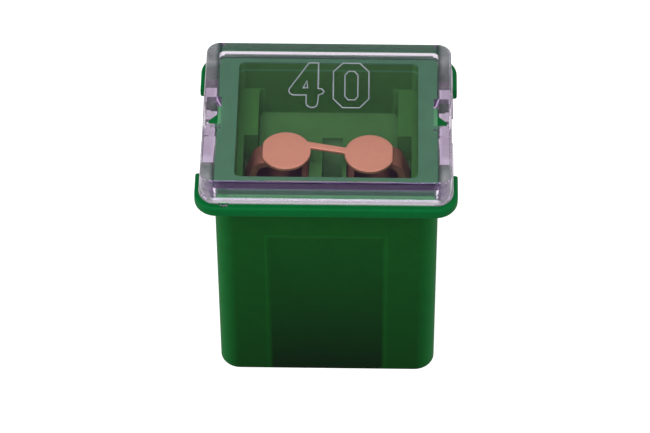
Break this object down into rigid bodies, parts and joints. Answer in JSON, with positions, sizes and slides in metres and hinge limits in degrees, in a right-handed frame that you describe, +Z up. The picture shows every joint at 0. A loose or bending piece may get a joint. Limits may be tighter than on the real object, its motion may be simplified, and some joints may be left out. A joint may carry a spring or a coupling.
{
  "type": "low-profile cartridge fuse",
  "caption": "Low-profile plug-in cartridge fuse: flanged green plastic housing, clear snap-fit cover over a visible copper link, and folded copper socket terminals that take blades from below.",
  "frame": {"origin": "centre of the base of the housing", "axes": "+X along the long side of the flange, +Y from front to back, +Z up through the clear cover"},
  "size_m": [0.0152, 0.0122, 0.0173],
  "materials": {
    "green_housing": "moulded dark green plastic, semi-gloss",
    "clear_cover": "clear moulded plastic with a faint violet tint, polished",
    "copper_terminal": "bare rolled copper strip",
    "copper_link": "bare stamped copper, matt",
    "spring_steel": "stainless spring strip"
  },
  "bodies": {
    "root": {"housing": "green_housing", "cover": "clear_cover", "left_terminal": "copper_terminal", "right_terminal": "copper_terminal", "fuse_link": "copper_link", "left_spring_clip": "spring_steel", "right_spring_clip": "spring_steel"}
  },
  "joints": []
}
